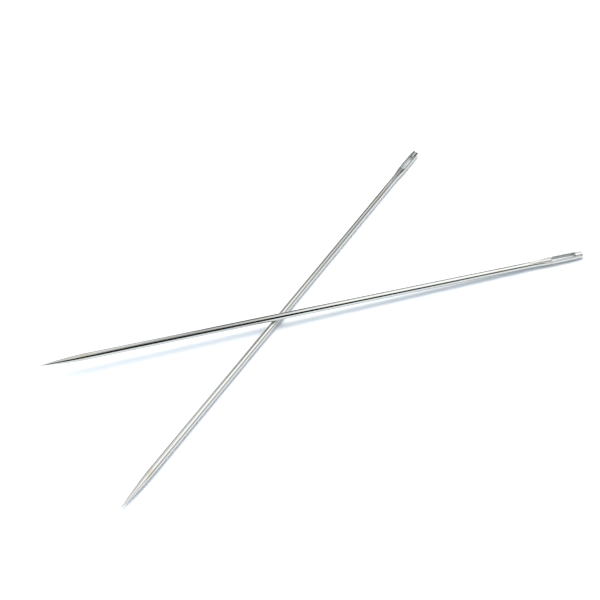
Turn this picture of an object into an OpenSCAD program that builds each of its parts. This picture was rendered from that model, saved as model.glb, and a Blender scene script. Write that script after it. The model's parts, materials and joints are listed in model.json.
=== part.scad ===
// A pair of long sharp-pointed yarn needles, one lying across the other.
// Each needle is one piece of drawn steel wire: an ogive point, a round shank, and a head that
// is pressed flat, guttered on both faces and pierced by a long eye.
// Millimetres. +Z is up, z = 0 is the surface that the needles lie on, and the origin is the
// middle of the pair's plan. +X runs along the upper needle's longer reach.

/* [Needle] */
// Length of a needle from its point to the end of its head
needle_length = 200; // [150:1:260]
// Diameter of the round shank
shank_d = 2.4; // [1.8:0.05:3]

/* [Point] */
// Length of the curved taper that ends in the point
point_length = 16; // [8:0.5:30]
// Radius of the rounding at the very point
point_tip_r = 0.08; // [0.04:0.01:0.2]

/* [Head] */
// Width of the pressed head beside the eye
head_w = 3.1; // [2.8:0.05:4]
// Thickness of the pressed head between its two flats
head_t = 1.9; // [1.5:0.05:2.2]
// Length over which the round shank spreads and flattens into the head
head_spread = 8; // [6:0.5:35]
// Width that is left at the squared end of the head
head_end_w = 2.7; // [2.4:0.05:2.8]
// Rounding of the squared end's corners
head_corner_r = 0.5; // [0.2:0.05:0.8]

/* [Eye] */
// Length of the eye, over its round ends
eye_length = 10; // [5:0.25:14]
// Width of the eye
eye_w = 1.45; // [0.8:0.05:1.8]
// Metal left between the eye and the end of the head
eye_to_end = 2.9; // [1.8:0.1:5]

/* [Gutters] */
// Width of the gutter pressed into each flat in line with the eye
gutter_w = 2; // [1.6:0.05:2.4]
// Depth of each gutter
gutter_depth = 0.4; // [0.2:0.05:0.5]
// Length that a gutter runs out over, on the shank side of the eye
gutter_run = 6; // [2:0.5:9]

/* [How the pair lies] */
// Heading of the lower needle, from its point to its head, measured from +X
lower_heading = 59.5; // [50:0.1:80]
// Heading of the upper needle, from its point to its head, measured from +X
upper_heading = 17; // [5:0.1:25]
// Distance from the lower needle's point to where the needles cross
cross_from_lower_point = 88.1; // [60:0.1:110]
// Distance from the upper needle's point to where the needles cross
cross_from_upper_point = 80.7; // [60:0.1:95]
// Turn of the lower needle about its own axis, which leans its flats to the right
lower_roll = 10; // [-10:0.5:10]
// Turn of the upper needle about its own axis, which leans its flats to the front
upper_roll = 11; // [-30:0.5:30]
// Gap between the two shanks where they cross
cross_gap = 0.02; // [0.01:0.01:0.1]

/* [Hidden] */

$fn = 96;
ARC_STEPS = 16; // straight steps in each long curved outline
CORNER_STEPS = 6; // straight steps round a tip or a corner
PAST = 1; // how far a cut runs past what it cuts
PRESS_CLEAR = 0.1; // how far off the round shank the press's ramp starts

shank_r = shank_d / 2;
head_r = head_w / 2;
head_end_r = head_end_w / 2;
eye_r = eye_w / 2;

// Stations along the needle, measured from its point
eye_end = needle_length - eye_to_end;
eye_start = eye_end - eye_length;
head_start = eye_start - head_spread;
taper_start = eye_end - eye_r;

// The point's side is an arc that leaves the rounded tip and meets the shank without a corner.
ogive_run = point_length - point_tip_r;
ogive_rise = shank_r - point_tip_r;
ogive_r = (ogive_run * ogive_run + ogive_rise * ogive_rise) / (2 * ogive_rise);
function ogive(x) = sqrt(ogive_r * ogive_r - pow(point_length - x, 2)) - ogive_r + shank_r;

// 0 to 1 with level ends
function smooth(k) = k * k * (3 - 2 * k);

// The blank's radius and the press's height above the axis, at a share k of the head's spread
flat_z = head_t / 2;
clear_z = shank_r + PRESS_CLEAR;
function spread_r(k) = shank_r + (head_r - shank_r) * smooth(k);
function press_z(k) = clear_z + (flat_z - clear_z) * smooth(k);

// The circle that cuts a gutter of the given width and depth, the slope at which it fades in, and
// the run in which that slope takes it right out of the shank
gutter_r = (gutter_w * gutter_w / 4 + gutter_depth * gutter_depth) / (2 * gutter_depth);
gutter_ramp = atan(gutter_depth / (gutter_run + eye_r));
gutter_out = (shank_r - flat_z + gutter_depth) / sin(gutter_ramp);

// How far below its axis a round of radius r reaches, pressed to half thickness z and leaning
function drop(r, z, lean) = z >= r || lean >= acos(z / r) ? r : r * cos(acos(z / r) - lean);

// The lower needle lies on its shank behind the point and on the fullest part of its spread.
spread_drops = [for (i = [0 : ARC_STEPS])
    drop(spread_r(i / ARC_STEPS), press_z(i / ARC_STEPS), abs(lower_roll))];
lower_rests_at = head_start + head_spread / 3;
lower_tilt = asin((max(spread_drops) - shank_r) / (lower_rests_at - point_length));
lower_cross_z = shank_r + (cross_from_lower_point - point_length) * sin(lower_tilt);

// The upper needle bears on the lower one where they cross and on the floor under its head.
upper_drop = drop(head_r, flat_z, abs(upper_roll));
upper_cross_z = lower_cross_z + shank_d + cross_gap;
upper_tilt = asin((upper_cross_z - upper_drop) / (taper_start - cross_from_upper_point));

// Plan of the four ends, measured from the crossing
upper_point_reach = cross_from_upper_point * cos(upper_tilt);
upper_head_reach = (needle_length - cross_from_upper_point) * cos(upper_tilt);
lower_point_reach = cross_from_lower_point * cos(lower_tilt);
lower_head_reach = (needle_length - cross_from_lower_point) * cos(lower_tilt);
ends_x = [
    -upper_point_reach * cos(upper_heading), upper_head_reach * cos(upper_heading),
    -lower_point_reach * cos(lower_heading), lower_head_reach * cos(lower_heading)
];
ends_y = [
    -upper_point_reach * sin(upper_heading), upper_head_reach * sin(upper_heading),
    -lower_point_reach * sin(lower_heading), lower_head_reach * sin(lower_heading)
];
cross_x = -(min(ends_x) + max(ends_x)) / 2;
cross_y = -(min(ends_y) + max(ends_y)) / 2;

// The needle's outline turned about its axis: point, shank, spread head and squared end
module turned_blank() {
    tip = [for (i = [0 : CORNER_STEPS - 1]) let (a = 90 * i / CORNER_STEPS)
        [point_tip_r * sin(a), point_tip_r * (1 - cos(a))]];
    point = [for (i = [0 : ARC_STEPS]) let (x = point_tip_r + ogive_run * i / ARC_STEPS) [ogive(x), x]];
    spread = [for (i = [0 : ARC_STEPS]) let (k = i / ARC_STEPS)
        [spread_r(k), head_start + head_spread * k]];
    corner = [for (i = [0 : CORNER_STEPS]) let (a = 90 * i / CORNER_STEPS)
        [head_end_r - head_corner_r * (1 - cos(a)), needle_length - head_corner_r * (1 - sin(a))]];
    rotate([0, 90, 0]) rotate_extrude()
        polygon(concat(tip, point, spread, [[head_r, taper_start]], corner, [[0, needle_length]]));
}

// What the press takes off one side: nothing on the shank, then a ramp down to the flat
module above_flat() {
    past_end = needle_length + PAST;
    past_side = head_r + PAST;
    ramp = [for (i = [0 : ARC_STEPS]) let (k = i / ARC_STEPS)
        [head_start + head_spread * k, press_z(k)]];
    rotate([90, 0, 0]) linear_extrude(height = 2 * past_side, center = true)
        polygon(concat(ramp, [[past_end, flat_z], [past_end, past_side], [head_start, past_side]]));
}

// One gutter: it fades in before the eye and runs out over the end of the head.
// Its two runs meet over the eye's round end, and overlap so that no fin is left between them.
module gutter() {
    meet_x = eye_start + eye_r;
    overlap = gutter_r * tan(gutter_ramp);
    translate([meet_x, 0, flat_z - gutter_depth + gutter_r]) {
        rotate([0, 90, 0]) cylinder(r = gutter_r, h = needle_length - meet_x + PAST);
        rotate([0, -90 + gutter_ramp, 0]) translate([0, 0, -overlap])
            cylinder(r = gutter_r, h = gutter_out + PAST + overlap);
    }
}

// The eye: a slot with round ends right through the head
module eye() {
    through = head_t + 2 * PAST;
    translate([0, 0, -through / 2]) {
        for (x = [eye_start + eye_r, eye_end - eye_r])
            translate([x, 0, 0]) cylinder(r = eye_r, h = through);
        translate([eye_start + eye_r, -eye_r, 0]) cube([eye_length - eye_w, eye_w, through]);
    }
}

// One needle along +X with its point at the origin and its eye looking up
module needle() {
    difference() {
        turned_blank();
        for (side = [0, 180]) rotate([side, 0, 0]) {
            above_flat();
            gutter();
        }
        eye();
    }
}

module lower_needle() {
    color("silver")
    translate([cross_x, cross_y, lower_cross_z])
    rotate([0, 0, lower_heading])
    rotate([0, -lower_tilt, 0])
    rotate([lower_roll, 0, 0])
    translate([-cross_from_lower_point, 0, 0])
        needle();
}

module upper_needle() {
    color("lightgray")
    translate([cross_x, cross_y, upper_cross_z])
    rotate([0, 0, upper_heading])
    rotate([0, upper_tilt, 0])
    rotate([upper_roll, 0, 0])
    translate([-cross_from_upper_point, 0, 0])
        needle();
}

lower_needle();
upper_needle();
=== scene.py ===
"""Two bright nickel-plated steel yarn needles, lying crossed on a white board."""

import json
import math

import bmesh
import bpy
from bpy.props import FloatProperty, FloatVectorProperty, IntProperty, PointerProperty
from mathutils import Matrix, Vector


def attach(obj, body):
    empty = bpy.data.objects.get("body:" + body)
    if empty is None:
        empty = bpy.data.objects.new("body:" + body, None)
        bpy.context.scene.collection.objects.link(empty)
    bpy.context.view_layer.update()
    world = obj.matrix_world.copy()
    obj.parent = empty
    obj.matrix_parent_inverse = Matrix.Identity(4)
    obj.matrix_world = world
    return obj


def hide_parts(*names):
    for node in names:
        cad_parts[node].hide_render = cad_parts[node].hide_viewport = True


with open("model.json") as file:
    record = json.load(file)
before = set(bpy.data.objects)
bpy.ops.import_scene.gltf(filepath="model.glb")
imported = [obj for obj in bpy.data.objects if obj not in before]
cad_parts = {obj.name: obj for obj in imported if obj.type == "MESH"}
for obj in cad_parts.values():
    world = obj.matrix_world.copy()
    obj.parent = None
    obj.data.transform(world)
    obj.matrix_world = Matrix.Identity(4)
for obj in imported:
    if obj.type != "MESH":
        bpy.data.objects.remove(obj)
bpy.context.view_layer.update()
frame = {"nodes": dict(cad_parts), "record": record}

bl_info = {
    "name": "Yarn Needle Pair",
    "version": (1, 0, 0),
    "blender": (4, 5, 0),
    "location": "3D View > Sidebar > Needles",
    "description": "Makes two crossed steel yarn needles with long guttered eyes, and their table",
    "category": "Object",
}

MM = 0.001
PLACE = "needle_place"  # the attribute that holds a vertex's place on the unplaced needle


def mount(name):
    """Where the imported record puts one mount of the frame, which way it faces, and its sizes."""
    found = next(m for m in frame["record"]["mounts"] if m["name"] == name)
    return Vector(found["pos_m"]), Vector(found["axis"]).normalized(), found["dims"]


def needle_from_frame(node):
    """The matrix that lays a needle where the frame has it, and the sizes that the frame gives it.
    The unplaced needle lies along +X with its point at the origin and its eye looking up."""
    end, along, _ = mount(f"{node}_head_end")
    eye, through, slot = mount(f"{node}_eye")
    side = through.cross(along).normalized()
    up = along.cross(side)
    point = min((v.co for v in frame["nodes"][node].data.vertices), key=along.dot)
    length = (end - point).dot(along)
    eye_length = slot["slot_length_mm"] * MM
    sizes = {
        "length": length,
        "eye_length": eye_length,
        "eye_width": slot["hole_r_mm"] * 2 * MM,
        "eye_to_end": (end - eye).dot(along) - eye_length / 2,
    }
    turn = Matrix((along, side, up)).transposed().to_4x4()
    return Matrix.Translation(end - along * length) @ turn, sizes


_, FRAME_SIZES = needle_from_frame("lower_needle")


def size(name, millimetres, description, **more):
    """A length that the sidebar shows."""
    return FloatProperty(
        name=name, description=description, default=millimetres * MM, min=0.0,
        precision=5, subtype="DISTANCE", unit="LENGTH", **more,
    )


def linear(hex_code):
    """An sRGB hex code as three linear values."""
    shares = [int(hex_code[i : i + 2], 16) / 255 for i in (0, 2, 4)]
    return tuple(s / 12.92 if s <= 0.04045 else ((s + 0.055) / 1.055) ** 2.4 for s in shares)


def colour(name, hex_code, description):
    """A colour that the sidebar shows, written as its sRGB hex code."""
    return FloatVectorProperty(
        name=name, description=description, default=linear(hex_code),
        min=0.0, max=1.0, size=3, subtype="COLOR",
    )


class NeedleSizes(bpy.types.PropertyGroup):
    """The sizes of one needle, the same for both."""

    length: size("Length", FRAME_SIZES["length"] / MM, "From the point to the end of the head")
    shank_diameter: size("Shank Diameter", 2.4, "Thickness of the round wire")
    point_length: size("Point Length", 16, "Length of the curved taper that ends in the point")
    tip_radius: size("Tip Radius", 0.08, "Rounding at the very point")
    head_width: size("Head Width", 3.1, "Width of the pressed head beside the eye")
    head_thickness: size("Head Thickness", 1.9, "Between the head's two flats")
    head_spread: size("Head Spread", 8, "Length over which the round shank flattens into the head")
    end_width: size("End Width", 2.7, "Width that is left at the squared end")
    corner_radius: size("Corner Radius", 0.5, "Rounding of the squared end's corners in plan")
    end_rounding: size("End Rounding", 0.35, "Rounding between the flats and the end face")
    eye_length: size("Eye Length", FRAME_SIZES["eye_length"] / MM, "Over the eye's round ends")
    eye_width: size("Eye Width", FRAME_SIZES["eye_width"] / MM, "Width of the eye")
    eye_to_end: size("Eye To End", FRAME_SIZES["eye_to_end"] / MM, "Metal left behind the eye")
    rim_rounding: size("Rim Rounding", 0.1, "Rounding of the eye's rim, where yarn runs over it")
    gutter_width: size("Gutter Width", 2, "Width of the gutter pressed into each flat")
    gutter_depth: size("Gutter Depth", 0.4, "Depth of each gutter")
    gutter_run: size("Gutter Run", 6, "Length that a gutter fades out over, before the eye")
    gutter_rounding: size("Gutter Rounding", 0.12, "How far the gutter's edges are blended")
    edge_rounding: size("Edge Rounding", 0.4, "How far the flats' edges blend into the round sides")
    half_ring: IntProperty(
        name="Half Ring", description="Faces round one side of the needle", default=44, min=8, max=128,
    )


class PlateFinish(bpy.types.PropertyGroup):
    """The nickel plate on the steel."""

    plate: colour("Plate", "C8C9C5", "Clean bright nickel")
    tarnish: colour("Tarnish", "BDB39C", "The faint yellow brown of handled nickel")
    roughness: FloatProperty(
        name="Roughness", description="How dull the polish is where it is cleanest", default=0.1,
        min=0.0, max=1.0, subtype="FACTOR",
    )
    line_spacing: size("Line Spacing", 0.25, "Between the polishing lines that run along the needle")
    line_length: size("Line Length", 14, "Of one polishing line")
    patch_size: size("Patch Size", 9, "Of one faintly tarnished patch")


class StudioLook(bpy.types.PropertyGroup):
    """Camera, light and table."""

    lens: FloatProperty(
        name="Lens", description="Focal length for a 36 mm wide sensor", default=61.4,
        min=1.0, subtype="DISTANCE_CAMERA", unit="CAMERA",
    )
    elevation: FloatProperty(
        name="Elevation", description="How steeply the camera looks down", default=math.radians(45.6),
        subtype="ANGLE", unit="ROTATION",
    )
    distance: size("Distance", 367, "From the camera to what it looks at")
    aim: FloatVectorProperty(
        name="Aim", description="The point of the table that is in the middle of the picture",
        default=(-9.8 * MM, 1.84 * MM, 0.0), size=3, subtype="TRANSLATION", unit="LENGTH",
    )
    key_power: FloatProperty(
        name="Key Power", description="Power of the softbox that throws the shadows", default=44,
        min=0.0, subtype="POWER", unit="POWER",
    )
    fill: FloatProperty(
        name="Fill", description="Strength of the light from all round", default=0.85, min=0.0,
    )
    fill_colour: colour("Fill Colour", "E7F3FF", "Of the light from all round, which tints the shadows")
    board: colour("Board", "F4F4F4", "The matt white board")


def add_node(tree, kind, links=None, **settings):
    """Adds a node with its settings, and gives its inputs a value or links them to a socket."""
    node = tree.nodes.new(kind)
    for name, value in settings.items():
        setattr(node, name, value)
    for key, value in (links or {}).items():
        if isinstance(value, bpy.types.NodeSocket):
            tree.links.new(value, node.inputs[key])
        else:
            node.inputs[key].default_value = value
    return node


class Amount:
    """A number in a node tree, with which a rule can be written as a formula."""

    def __init__(self, tree, socket):
        self.tree = tree
        self.socket = socket

    def math(self, operation, *others):
        values = [self.socket] + [o.socket if isinstance(o, Amount) else o for o in others]
        node = add_node(self.tree, "ShaderNodeMath", dict(enumerate(values)), operation=operation)
        return Amount(self.tree, node.outputs[0])

    def __add__(self, other):
        return self.math("ADD", other)

    def __sub__(self, other):
        return self.math("SUBTRACT", other)

    def __rsub__(self, other):
        return self * -1 + other

    def __mul__(self, other):
        return self.math("MULTIPLY", other)

    def __truediv__(self, other):
        return self.math("DIVIDE", other)

    def above(self, least):
        return self.math("MAXIMUM", least)

    def below(self, most):
        return self.math("MINIMUM", most)

    def root(self):
        return self.math("SQRT")

    def share(self, low, high):
        """0 at low, 1 at high and held beyond them."""
        return ((self - low) / (high - low)).above(0.0).below(1.0)

    def smooth(self):
        """The same share with level ends."""
        return self * self * (3 - self * 2)

    def rounding(self, start, radius):
        """How far a quarter circle of that radius, which begins at start, has fallen away."""
        past = (self - start).above(0.0).below(radius)
        return radius - (radius * radius - past * past).root()


LENGTH_INPUTS = [name for name in NeedleSizes.__annotations__ if name != "half_ring"]
PRESS_CLEAR = 0.1 * MM  # how far off the round shank the press's ramp starts
HAIR = 0.0001 * MM  # what the eye is cut short by, so that rounding errors leave both its ends closed
CAP_RUN = 1 * MM  # the length of the stretch that is folded in to close the end face
LIP_RUN = 1 * MM  # the last of the spread, where the rings close up on the eye
SEAM = 0.0002 * MM  # points closer than this are one
RING_CROWDING = 0.6  # how much closer the faces round the needle lie on its flats than on its sides
LEAST_COSINE = 0.001  # keeps the way out to the flat's plane finite at the needle's sides


def needle_tree():
    """The rule that shapes a needle. Flat sheets are made first, one for each stretch, whose points
    hold their station along the needle, their share of the way round from the upper to the lower rim,
    and their height on the eye's wall. The rule then puts each point in its place on the left half of
    the needle, and the right half is its mirror image."""
    tree = bpy.data.node_groups.new("Needle by rule", "GeometryNodeTree")
    tree.interface.new_socket("Needle", in_out="OUTPUT", socket_type="NodeSocketGeometry")
    for name in LENGTH_INPUTS:
        socket = tree.interface.new_socket(name, in_out="INPUT", socket_type="NodeSocketFloat")
        socket.subtype = "DISTANCE"
    tree.interface.new_socket("half_ring", in_out="INPUT", socket_type="NodeSocketInt")
    tree.interface.new_socket("finish", in_out="INPUT", socket_type="NodeSocketMaterial")
    given = add_node(tree, "NodeGroupInput").outputs
    sizes = {name: Amount(tree, given[name]) for name in LENGTH_INPUTS}

    length = sizes["length"]
    eye_r = sizes["eye_width"] * 0.5
    eye_end = length - sizes["eye_to_end"]
    eye_start = eye_end - sizes["eye_length"]
    stations = {
        "tip": 0.0,
        "ogive": sizes["tip_radius"],
        "shank": sizes["point_length"],
        "spread": eye_start - sizes["head_spread"],
        "lip": eye_start - LIP_RUN,
        "eye": eye_start,
        "sides": eye_start + eye_r,
        "taper": eye_end - eye_r,
        "bridge": eye_end,
        "corner": length - sizes["corner_radius"],
        "end": length,
        "closed": length + CAP_RUN,
    }
    sheets = add_node(tree, "GeometryNodeJoinGeometry")
    for skin in needle_sheets(tree, stations, given["half_ring"]):
        tree.links.new(skin, sheets.inputs[0])

    place = needle_place(tree, sizes, stations, eye_r)
    left = add_node(tree, "GeometryNodeSetPosition", {"Geometry": sheets.outputs[0], "Position": place})
    mirrored = add_node(
        tree, "GeometryNodeTransform", {"Geometry": left.outputs[0], "Scale": (1, -1, 1)},
    )
    right = add_node(tree, "GeometryNodeFlipFaces", {"Mesh": mirrored.outputs[0]})
    both = add_node(tree, "GeometryNodeJoinGeometry", {0: left.outputs[0]})
    tree.links.new(right.outputs[0], both.inputs[0])
    closed = add_node(
        tree, "GeometryNodeMergeByDistance", {"Geometry": both.outputs[0], "Distance": SEAM},
    )
    smooth = add_node(tree, "GeometryNodeSetShadeSmooth", {"Geometry": closed.outputs[0]})
    unplaced = add_node(tree, "GeometryNodeInputPosition")
    kept = add_node(
        tree, "GeometryNodeStoreNamedAttribute",
        {"Geometry": smooth.outputs[0], "Name": PLACE, "Value": unplaced.outputs[0]},
        data_type="FLOAT_VECTOR",
    )
    real = add_node(tree, "GeometryNodeRealizeInstances", {"Geometry": kept.outputs[0]})
    plated = add_node(
        tree, "GeometryNodeSetMaterial", {"Geometry": real.outputs[0], "Material": given["finish"]},
    )
    add_node(tree, "NodeGroupOutput", {0: plated.outputs[0]})
    return tree


# Stretch, the stretch that follows it, how many steps it has, and the end on which they close up
STRETCHES = [
    ("tip", "ogive", 6, "start"),
    ("ogive", "shank", 36, "start"),
    ("shank", "spread", 40, None),
    ("spread", "lip", 40, None),
    ("lip", "eye", 12, "end"),
    ("eye", "sides", 14, "start"),
    ("sides", "taper", 24, None),
    ("taper", "bridge", 14, "end"),
    ("bridge", "corner", 14, "start"),
    ("corner", "end", 12, "end"),
    ("end", "closed", 8, None),
]
EYE_STRETCHES = ("eye", "sides", "taper")
WALL_STEPS = 10


def needle_sheets(tree, stations, half_ring):
    """Yields the flat sheet of each stretch's skin, and of the eye's wall beside it."""
    on_sheet = add_node(tree, "GeometryNodeInputPosition")
    position = add_node(tree, "ShaderNodeSeparateXYZ", {0: on_sheet.outputs[0]})
    across = Amount(tree, position.outputs["Y"])
    rim_count = (Amount(tree, half_ring) + 1).socket
    for name, following, steps, close_up in STRETCHES:
        share = Amount(tree, position.outputs["X"]) + 0.5
        if close_up == "start":
            share = 1 - (share * (math.pi / 2)).math("COSINE")
        if close_up == "end":
            share = (share * (math.pi / 2)).math("SINE")
        station = (stations[following] - stations[name]) * share + stations[name]
        sheets = [(rim_count, across + 0.5, 1.0)]
        if name in EYE_STRETCHES:
            sheets.append((WALL_STEPS + 1, 0.0, across * 2))
        for rows, around, height in sheets:
            sheet = add_node(
                tree, "GeometryNodeMeshGrid",
                {"Size X": 1.0, "Size Y": 1.0, "Vertices X": steps + 1, "Vertices Y": rows},
            )
            values = [v.socket if isinstance(v, Amount) else v for v in (station, around, height)]
            point = add_node(tree, "ShaderNodeCombineXYZ", dict(enumerate(values)))
            laid = add_node(
                tree, "GeometryNodeSetPosition",
                {"Geometry": sheet.outputs[0], "Position": point.outputs[0]},
            )
            yield laid.outputs[0]


def needle_place(tree, sizes, stations, eye_r):
    """Where the rule puts a sheet's point: x along the needle, y to its left and z out of its eye."""
    on_sheet = add_node(tree, "GeometryNodeInputPosition")
    sheet = add_node(tree, "ShaderNodeSeparateXYZ", {0: on_sheet.outputs[0]})
    station, around, wall_height = [Amount(tree, socket) for socket in sheet.outputs]
    length, tip_r = sizes["length"], sizes["tip_radius"]
    x = station.below(length)
    shank_r = sizes["shank_diameter"] * 0.5
    head_r = sizes["head_width"] * 0.5
    end_r = sizes["end_width"] * 0.5
    flat = sizes["head_thickness"] * 0.5
    corner_r, end_round = sizes["corner_radius"], sizes["end_rounding"]

    # The turned blank: a round tip, an ogive, the round shank, the spread head and its corners
    run = sizes["point_length"] - tip_r
    rise = shank_r - tip_r
    ogive_r = (run * run + rise * rise) / (rise * 2)
    from_shank = (sizes["point_length"] - x.above(tip_r)).above(0.0)
    ogive = (ogive_r * ogive_r - from_shank * from_shank).root() - ogive_r + shank_r
    in_tip = x.below(tip_r)
    tip = (in_tip * (tip_r * 2 - in_tip)).above(0.0).root()
    spread = x.share(stations["spread"], stations["eye"]).smooth()
    taper = x.share(stations["taper"], stations["corner"])
    radius = (
        ogive - tip_r + tip + (head_r - shank_r) * spread - (head_r - end_r) * taper
        - x.rounding(stations["corner"], corner_r)
    )

    # The press: from just off the shank down to the flats, whose edges blend into the round sides
    clear = shank_r + PRESS_CLEAR
    press = clear + (flat - clear) * spread
    from_middle = (x - (stations["eye"] + stations["bridge"]) * 0.5).math("ABSOLUTE")
    past_side = (from_middle - sizes["eye_length"] * 0.5 + eye_r + HAIR).above(0.0)
    eye_half = (eye_r * eye_r - past_side * past_side).above(0.0).root()
    rim_angle = eye_half.math("ARCTAN2", press)
    way = around - (around * (2 * math.pi)).math("SINE") * (RING_CROWDING / (2 * math.pi))
    angle = rim_angle + (math.pi - rim_angle * 2) * way
    cosine = angle.math("COSINE")
    to_flat = press / cosine.math("ABSOLUTE").above(LEAST_COSINE)
    reach = radius.math("SMOOTH_MIN", to_flat, sizes["edge_rounding"] * spread)
    y = reach * angle.math("SINE")
    z = (reach * cosine).math("ABSOLUTE")

    # The gutter: a round channel that fades in before the eye and runs out over the end
    gutter_w, gutter_d = sizes["gutter_width"], sizes["gutter_depth"]
    gutter_r = (gutter_w * gutter_w / 4 + gutter_d * gutter_d) / (gutter_d * 2)
    before = (stations["sides"] - x).above(0.0) / (sizes["gutter_run"] + eye_r)
    sag = (gutter_r * gutter_r - y * y).above(0.0).root()
    channel = flat - gutter_d + gutter_d * before + gutter_r - sag
    z = z.math("SMOOTH_MIN", channel, sizes["gutter_rounding"])

    # The eye's rim and the edge of the end face are rounded over
    rim_round = sizes["rim_rounding"]
    from_rim = (past_side * past_side + y * y).root() - eye_r
    on_rim = (rim_round - from_rim).above(0.0).below(rim_round)
    z = z - rim_round + (rim_round * rim_round - on_rim * on_rim).root()
    z = z * (1 - x.rounding(length - end_round, end_round) / flat)

    closing = 1 - station.share(length, stations["closed"])
    z = z * cosine.math("SIGN") * wall_height * closing
    y = y * closing
    return add_node(tree, "ShaderNodeCombineXYZ", {0: x.socket, 1: y.socket, 2: z.socket}).outputs[0]


def nickel_plate(finish):
    """Bright nickel, plated over drawn and polished steel wire."""
    material = bpy.data.materials.new("Bright nickel plate on polished steel")
    material.use_nodes = True
    tree = material.node_tree
    tree.nodes.clear()
    place = add_node(tree, "ShaderNodeAttribute", attribute_name=PLACE)

    # Polishing along the wire leaves fine lines, which break the reflections into long streaks. Real
    # ones are some hundredths of a millimetre apart. These are drawn ten times as coarse to show.
    along_lines = add_node(
        tree, "ShaderNodeMapping",
        {
            "Vector": place.outputs["Vector"],
            "Scale": (1 / finish.line_length, 1 / finish.line_spacing, 1 / finish.line_spacing),
        },
    )
    lines = add_node(
        tree, "ShaderNodeTexNoise", {"Vector": along_lines.outputs[0], "Scale": 1.0, "Detail": 3.0},
    )
    polish = add_node(
        tree, "ShaderNodeBump",
        {"Height": lines.outputs["Fac"], "Strength": 0.25, "Distance": 0.01 * MM},
    )

    # Handling leaves faint yellow brown patches, twice as long as they are wide and a little duller.
    patch_place = add_node(
        tree, "ShaderNodeMapping",
        {
            "Vector": place.outputs["Vector"],
            "Scale": (1 / finish.patch_size, 2 / finish.patch_size, 2 / finish.patch_size),
        },
    )
    patches = add_node(
        tree, "ShaderNodeTexNoise", {"Vector": patch_place.outputs[0], "Scale": 1.0, "Detail": 4.0},
    )
    tarnished = add_node(
        tree, "ShaderNodeMapRange",
        {"Value": patches.outputs["Fac"], "From Min": 0.56, "From Max": 0.8, "To Min": 0.0, "To Max": 0.5},
        interpolation_type="SMOOTHSTEP",
    )
    tint = add_node(
        tree, "ShaderNodeMix",
        {0: tarnished.outputs["Result"], 6: (*finish.plate, 1.0), 7: (*finish.tarnish, 1.0)},
        data_type="RGBA",
    )
    dullness = add_node(
        tree, "ShaderNodeMapRange",
        {
            "Value": tarnished.outputs["Result"],
            "To Min": finish.roughness,
            "To Max": finish.roughness + 0.1,
        },
    )

    # To the eye the plate is a warm light grey mirror.
    plate = add_node(
        tree, "ShaderNodeBsdfPrincipled",
        {
            "Base Color": tint.outputs[2],
            "Metallic": 1.0,
            "Roughness": dullness.outputs["Result"],
            "Normal": polish.outputs["Normal"],
        },
    )
    add_node(tree, "ShaderNodeOutputMaterial", {"Surface": plate.outputs[0]})
    return material


def rule_mesh(tree, sizes, finish, name):
    """An object whose mesh is what the tree makes of these sizes, with no modifier left on it."""
    needle = bpy.data.objects.new(name, bpy.data.meshes.new(name))
    bpy.context.scene.collection.objects.link(needle)
    modifier = needle.modifiers.new("Needle by rule", "NODES")
    modifier.node_group = tree
    values = {key: getattr(sizes, key) for key in (*LENGTH_INPUTS, "half_ring")}
    values["finish"] = finish
    for socket in tree.interface.items_tree:
        if socket.in_out == "INPUT":
            modifier[socket.identifier] = values[socket.name]
    evaluated = needle.evaluated_get(bpy.context.evaluated_depsgraph_get())
    mesh = bpy.data.meshes.new_from_object(evaluated)
    mesh.name = name
    needle.modifiers.remove(modifier)
    needle.data = mesh
    return needle


def check_closed(piece):
    """Raises an error unless the piece is a closed shell that faces outwards."""
    shell = bmesh.new()
    shell.from_mesh(piece.data)
    open_edges = sum(not edge.is_manifold for edge in shell.edges)
    volume = shell.calc_volume(signed=True)
    shell.free()
    if open_edges or volume <= 0:
        raise RuntimeError(f"{piece.name} has {open_edges} open edges and a volume of {volume}")


class NEEDLES_OT_make_pair(bpy.types.Operator):
    """Make both needles where the frame has them, and let them stand for its solids"""

    bl_idname = "needles.make_pair"
    bl_label = "Make Needle Pair"

    def execute(self, context):
        pair = context.scene.needle_pair
        tree = needle_tree()
        finish = nickel_plate(pair.finish)
        for node, body in (("lower_needle", "lower"), ("upper_needle", "upper")):
            needle = rule_mesh(tree, pair.sizes, finish, f"{node}_plated")
            place, _ = needle_from_frame(node)
            needle.data.transform(place)
            check_closed(needle)
            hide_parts(node)
            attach(needle, body)
        return {"FINISHED"}


def white_world(studio):
    """White all round to the camera, in the metal and through glass, and a soft fill for the rest."""
    world = bpy.data.worlds.new("White studio")
    bpy.context.scene.world = world
    world.use_nodes = True
    tree = world.node_tree
    tree.nodes.clear()
    ray = add_node(tree, "ShaderNodeLightPath").outputs
    in_studio = Amount(tree, ray["Is Camera Ray"]).above(ray["Is Glossy Ray"])
    in_studio = in_studio.above(ray["Is Transmission Ray"])
    fill = add_node(
        tree, "ShaderNodeBackground", {"Color": (*studio.fill_colour, 1.0), "Strength": studio.fill},
    )
    white = add_node(tree, "ShaderNodeBackground", {"Color": (1, 1, 1, 1), "Strength": 1.0})
    chosen = add_node(
        tree, "ShaderNodeMixShader", {0: in_studio.socket, 1: fill.outputs[0], 2: white.outputs[0]},
    )
    add_node(tree, "ShaderNodeOutputWorld", {"Surface": chosen.outputs[0]})


BOARD_RADIUS = 0.7  # metres, which reaches past the picture's edges from the photograph's angle
BOARD_SIDES = 96


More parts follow.
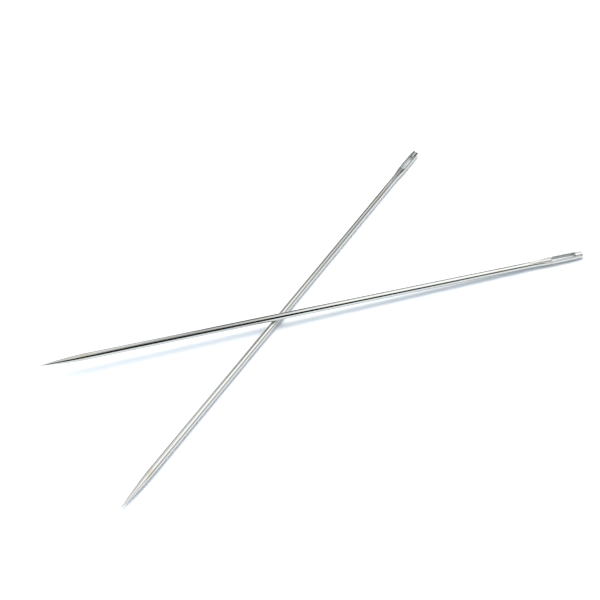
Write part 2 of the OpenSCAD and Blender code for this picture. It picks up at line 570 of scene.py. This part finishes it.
def table_board(studio):
    """The white board under the needles, which takes their soft shadows."""
    mesh = bpy.data.meshes.new("white_board")
    shell = bmesh.new()
    bmesh.ops.create_circle(shell, cap_ends=True, segments=BOARD_SIDES, radius=BOARD_RADIUS)
    shell.to_mesh(mesh)
    shell.free()
    board = bpy.data.objects.new("white_board", mesh)
    bpy.context.scene.collection.objects.link(board)

    # Matt card looks evenly white from every side, so that only the shadows show on it.
    material = bpy.data.materials.new("Matt white board")
    material.use_nodes = True
    tree = material.node_tree
    tree.nodes.clear()
    matt = add_node(tree, "ShaderNodeBsdfDiffuse", {"Color": (*studio.board, 1.0)})
    add_node(tree, "ShaderNodeOutputMaterial", {"Surface": matt.outputs[0]})
    mesh.materials.append(material)


def toward(azimuth, elevation):
    """The direction at that azimuth, counted from +X toward +Y, and elevation, in degrees."""
    turn, rise = math.radians(azimuth), math.radians(elevation)
    return Vector((math.cos(rise) * math.cos(turn), math.cos(rise) * math.sin(turn), math.sin(rise)))


# The softbox's direction in degrees, and its distance and side in metres
SOFTBOX_AZIMUTH = 85
SOFTBOX_ELEVATION = 64
SOFTBOX_DISTANCE = 2.0
SOFTBOX_SIDE = 1.76


def key_softbox(studio):
    """The large softbox behind the table that throws the soft shadows. The metal sees screens in
    its place."""
    lamp = bpy.data.lights.new("key_softbox", "AREA")
    lamp.shape = "SQUARE"
    lamp.size = SOFTBOX_SIDE
    lamp.energy = studio.key_power
    softbox = bpy.data.objects.new("key_softbox", lamp)
    softbox.visible_camera = False
    softbox.visible_glossy = False
    way = toward(SOFTBOX_AZIMUTH, SOFTBOX_ELEVATION)
    facing = (-way).to_track_quat("-Z", "Y").to_matrix().to_4x4()
    softbox.matrix_world = Matrix.Translation(way * SOFTBOX_DISTANCE) @ facing
    bpy.context.scene.collection.objects.link(softbox)


# Name, first and last azimuth, lowest and highest elevation in degrees, and how bright it looks
SCREENS = [
    ("softbox_overhead", -35, 62, 50, 77, 1.8),
    ("softbox_lower_edge", 0, 30, 40, 50, 1.6),
    ("dark_room_in_front", 250, 312, 2, 53, 0.01),
    ("dim_ceiling_in_front", 280, 312, 53, 84, 0.3),
    ("dark_room_front_right", 312, 330, 12, 46, 0.12),
    ("dim_screen_right", -15, 18, 8, 30, 0.5),
    ("dark_screen_right", 18, 42, 14, 38, 0.35),
    ("pale_screen_right", 30, 72, 38, 46, 0.97),
    ("grey_screen_back_right", 42, 72, 0, 38, 0.6),
    ("dark_screen_back", 72, 89, 0, 30, 0.2),
    ("dark_gap_back", 89, 102, 3, 54, 0.08),
    ("grey_screen_back_left", 102, 135, 5, 45, 0.62),
    ("softbox_back_left", 105, 126, 46, 66, 1.5),
    ("grey_ceiling_back", 62, 101, 67, 84, 0.65),
    ("dark_screen_left", 160, 215, 6, 38, 0.15),
]
SCREEN_DISTANCE = 0.9
SCREEN_STEPS = 8


def studio_screens():
    """Curved screens round the table that only the metal sees. They give it its light and dark
    lines, as a photographer's do."""
    for name, first, last, low, high, brightness in SCREENS:
        mesh = bpy.data.meshes.new(name)
        shell = bmesh.new()
        bmesh.ops.create_grid(shell, x_segments=SCREEN_STEPS, y_segments=SCREEN_STEPS, size=1)
        for point in shell.verts:
            azimuth = first + (last - first) * (point.co.x + 1) / 2
            elevation = low + (high - low) * (point.co.y + 1) / 2
            point.co = toward(azimuth, elevation) * SCREEN_DISTANCE
        shell.to_mesh(mesh)
        shell.free()
        screen = bpy.data.objects.new(name, mesh)
        for kind in ("camera", "diffuse", "shadow", "transmission"):
            setattr(screen, f"visible_{kind}", False)
        bpy.context.scene.collection.objects.link(screen)
        material = bpy.data.materials.new(name)
        material.use_nodes = True
        tree = material.node_tree
        tree.nodes.clear()
        face = add_node(tree, "ShaderNodeEmission", {"Color": (1, 1, 1, 1), "Strength": brightness})
        add_node(tree, "ShaderNodeOutputMaterial", {"Surface": face.outputs[0]})
        mesh.materials.append(material)


def photo_camera(studio):
    """The camera at the photograph's angle."""
    data = bpy.data.cameras.new("camera")
    data.lens = studio.lens
    camera = bpy.data.objects.new("camera", data)
    back = Vector((0, -math.cos(studio.elevation), math.sin(studio.elevation)))
    look = (-back).to_track_quat("-Z", "Y").to_matrix().to_4x4()
    camera.matrix_world = Matrix.Translation(Vector(studio.aim) + back * studio.distance) @ look
    bpy.context.scene.collection.objects.link(camera)
    bpy.context.scene.camera = camera


class NEEDLES_OT_set_stage(bpy.types.Operator):
    """Set the white board, the softbox, the screens and the camera"""

    bl_idname = "needles.set_stage"
    bl_label = "Set Stage"

    def execute(self, context):
        studio = context.scene.needle_pair.studio
        context.scene.view_settings.view_transform = "Standard"
        white_world(studio)
        table_board(studio)
        key_softbox(studio)
        studio_screens()
        photo_camera(studio)
        return {"FINISHED"}


class NeedlePair(bpy.types.PropertyGroup):
    """Everything that the sidebar shows."""

    sizes: PointerProperty(type=NeedleSizes)
    finish: PointerProperty(type=PlateFinish)
    studio: PointerProperty(type=StudioLook)


class NEEDLES_PT_pair(bpy.types.Panel):
    """Sizes, finish and studio of the needle pair"""

    bl_label = "Yarn Needle Pair"
    bl_idname = "NEEDLES_PT_pair"
    bl_space_type = "VIEW_3D"
    bl_region_type = "UI"
    bl_category = "Needles"

    def draw(self, context):
        pair = context.scene.needle_pair
        for title, group in (("Needle", pair.sizes), ("Plate", pair.finish), ("Studio", pair.studio)):
            box = self.layout.box()
            box.label(text=title)
            for name in group.__annotations__:
                box.prop(group, name)
        self.layout.operator(NEEDLES_OT_make_pair.bl_idname)
        self.layout.operator(NEEDLES_OT_set_stage.bl_idname)


CLASSES = (
    NeedleSizes, PlateFinish, StudioLook, NeedlePair,
    NEEDLES_OT_make_pair, NEEDLES_OT_set_stage, NEEDLES_PT_pair,
)


def register():
    """Makes the operators, the panel and the settings known to Blender."""
    for cls in CLASSES:
        bpy.utils.register_class(cls)
    bpy.types.Scene.needle_pair = PointerProperty(type=NeedlePair)


def unregister():
    """Takes them out again."""
    del bpy.types.Scene.needle_pair
    for cls in reversed(CLASSES):
        bpy.utils.unregister_class(cls)


def main():
    """Makes the stage and the needles."""
    register()
    bpy.ops.needles.set_stage()
    bpy.ops.needles.make_pair()


if __name__ == "__main__":
    main()
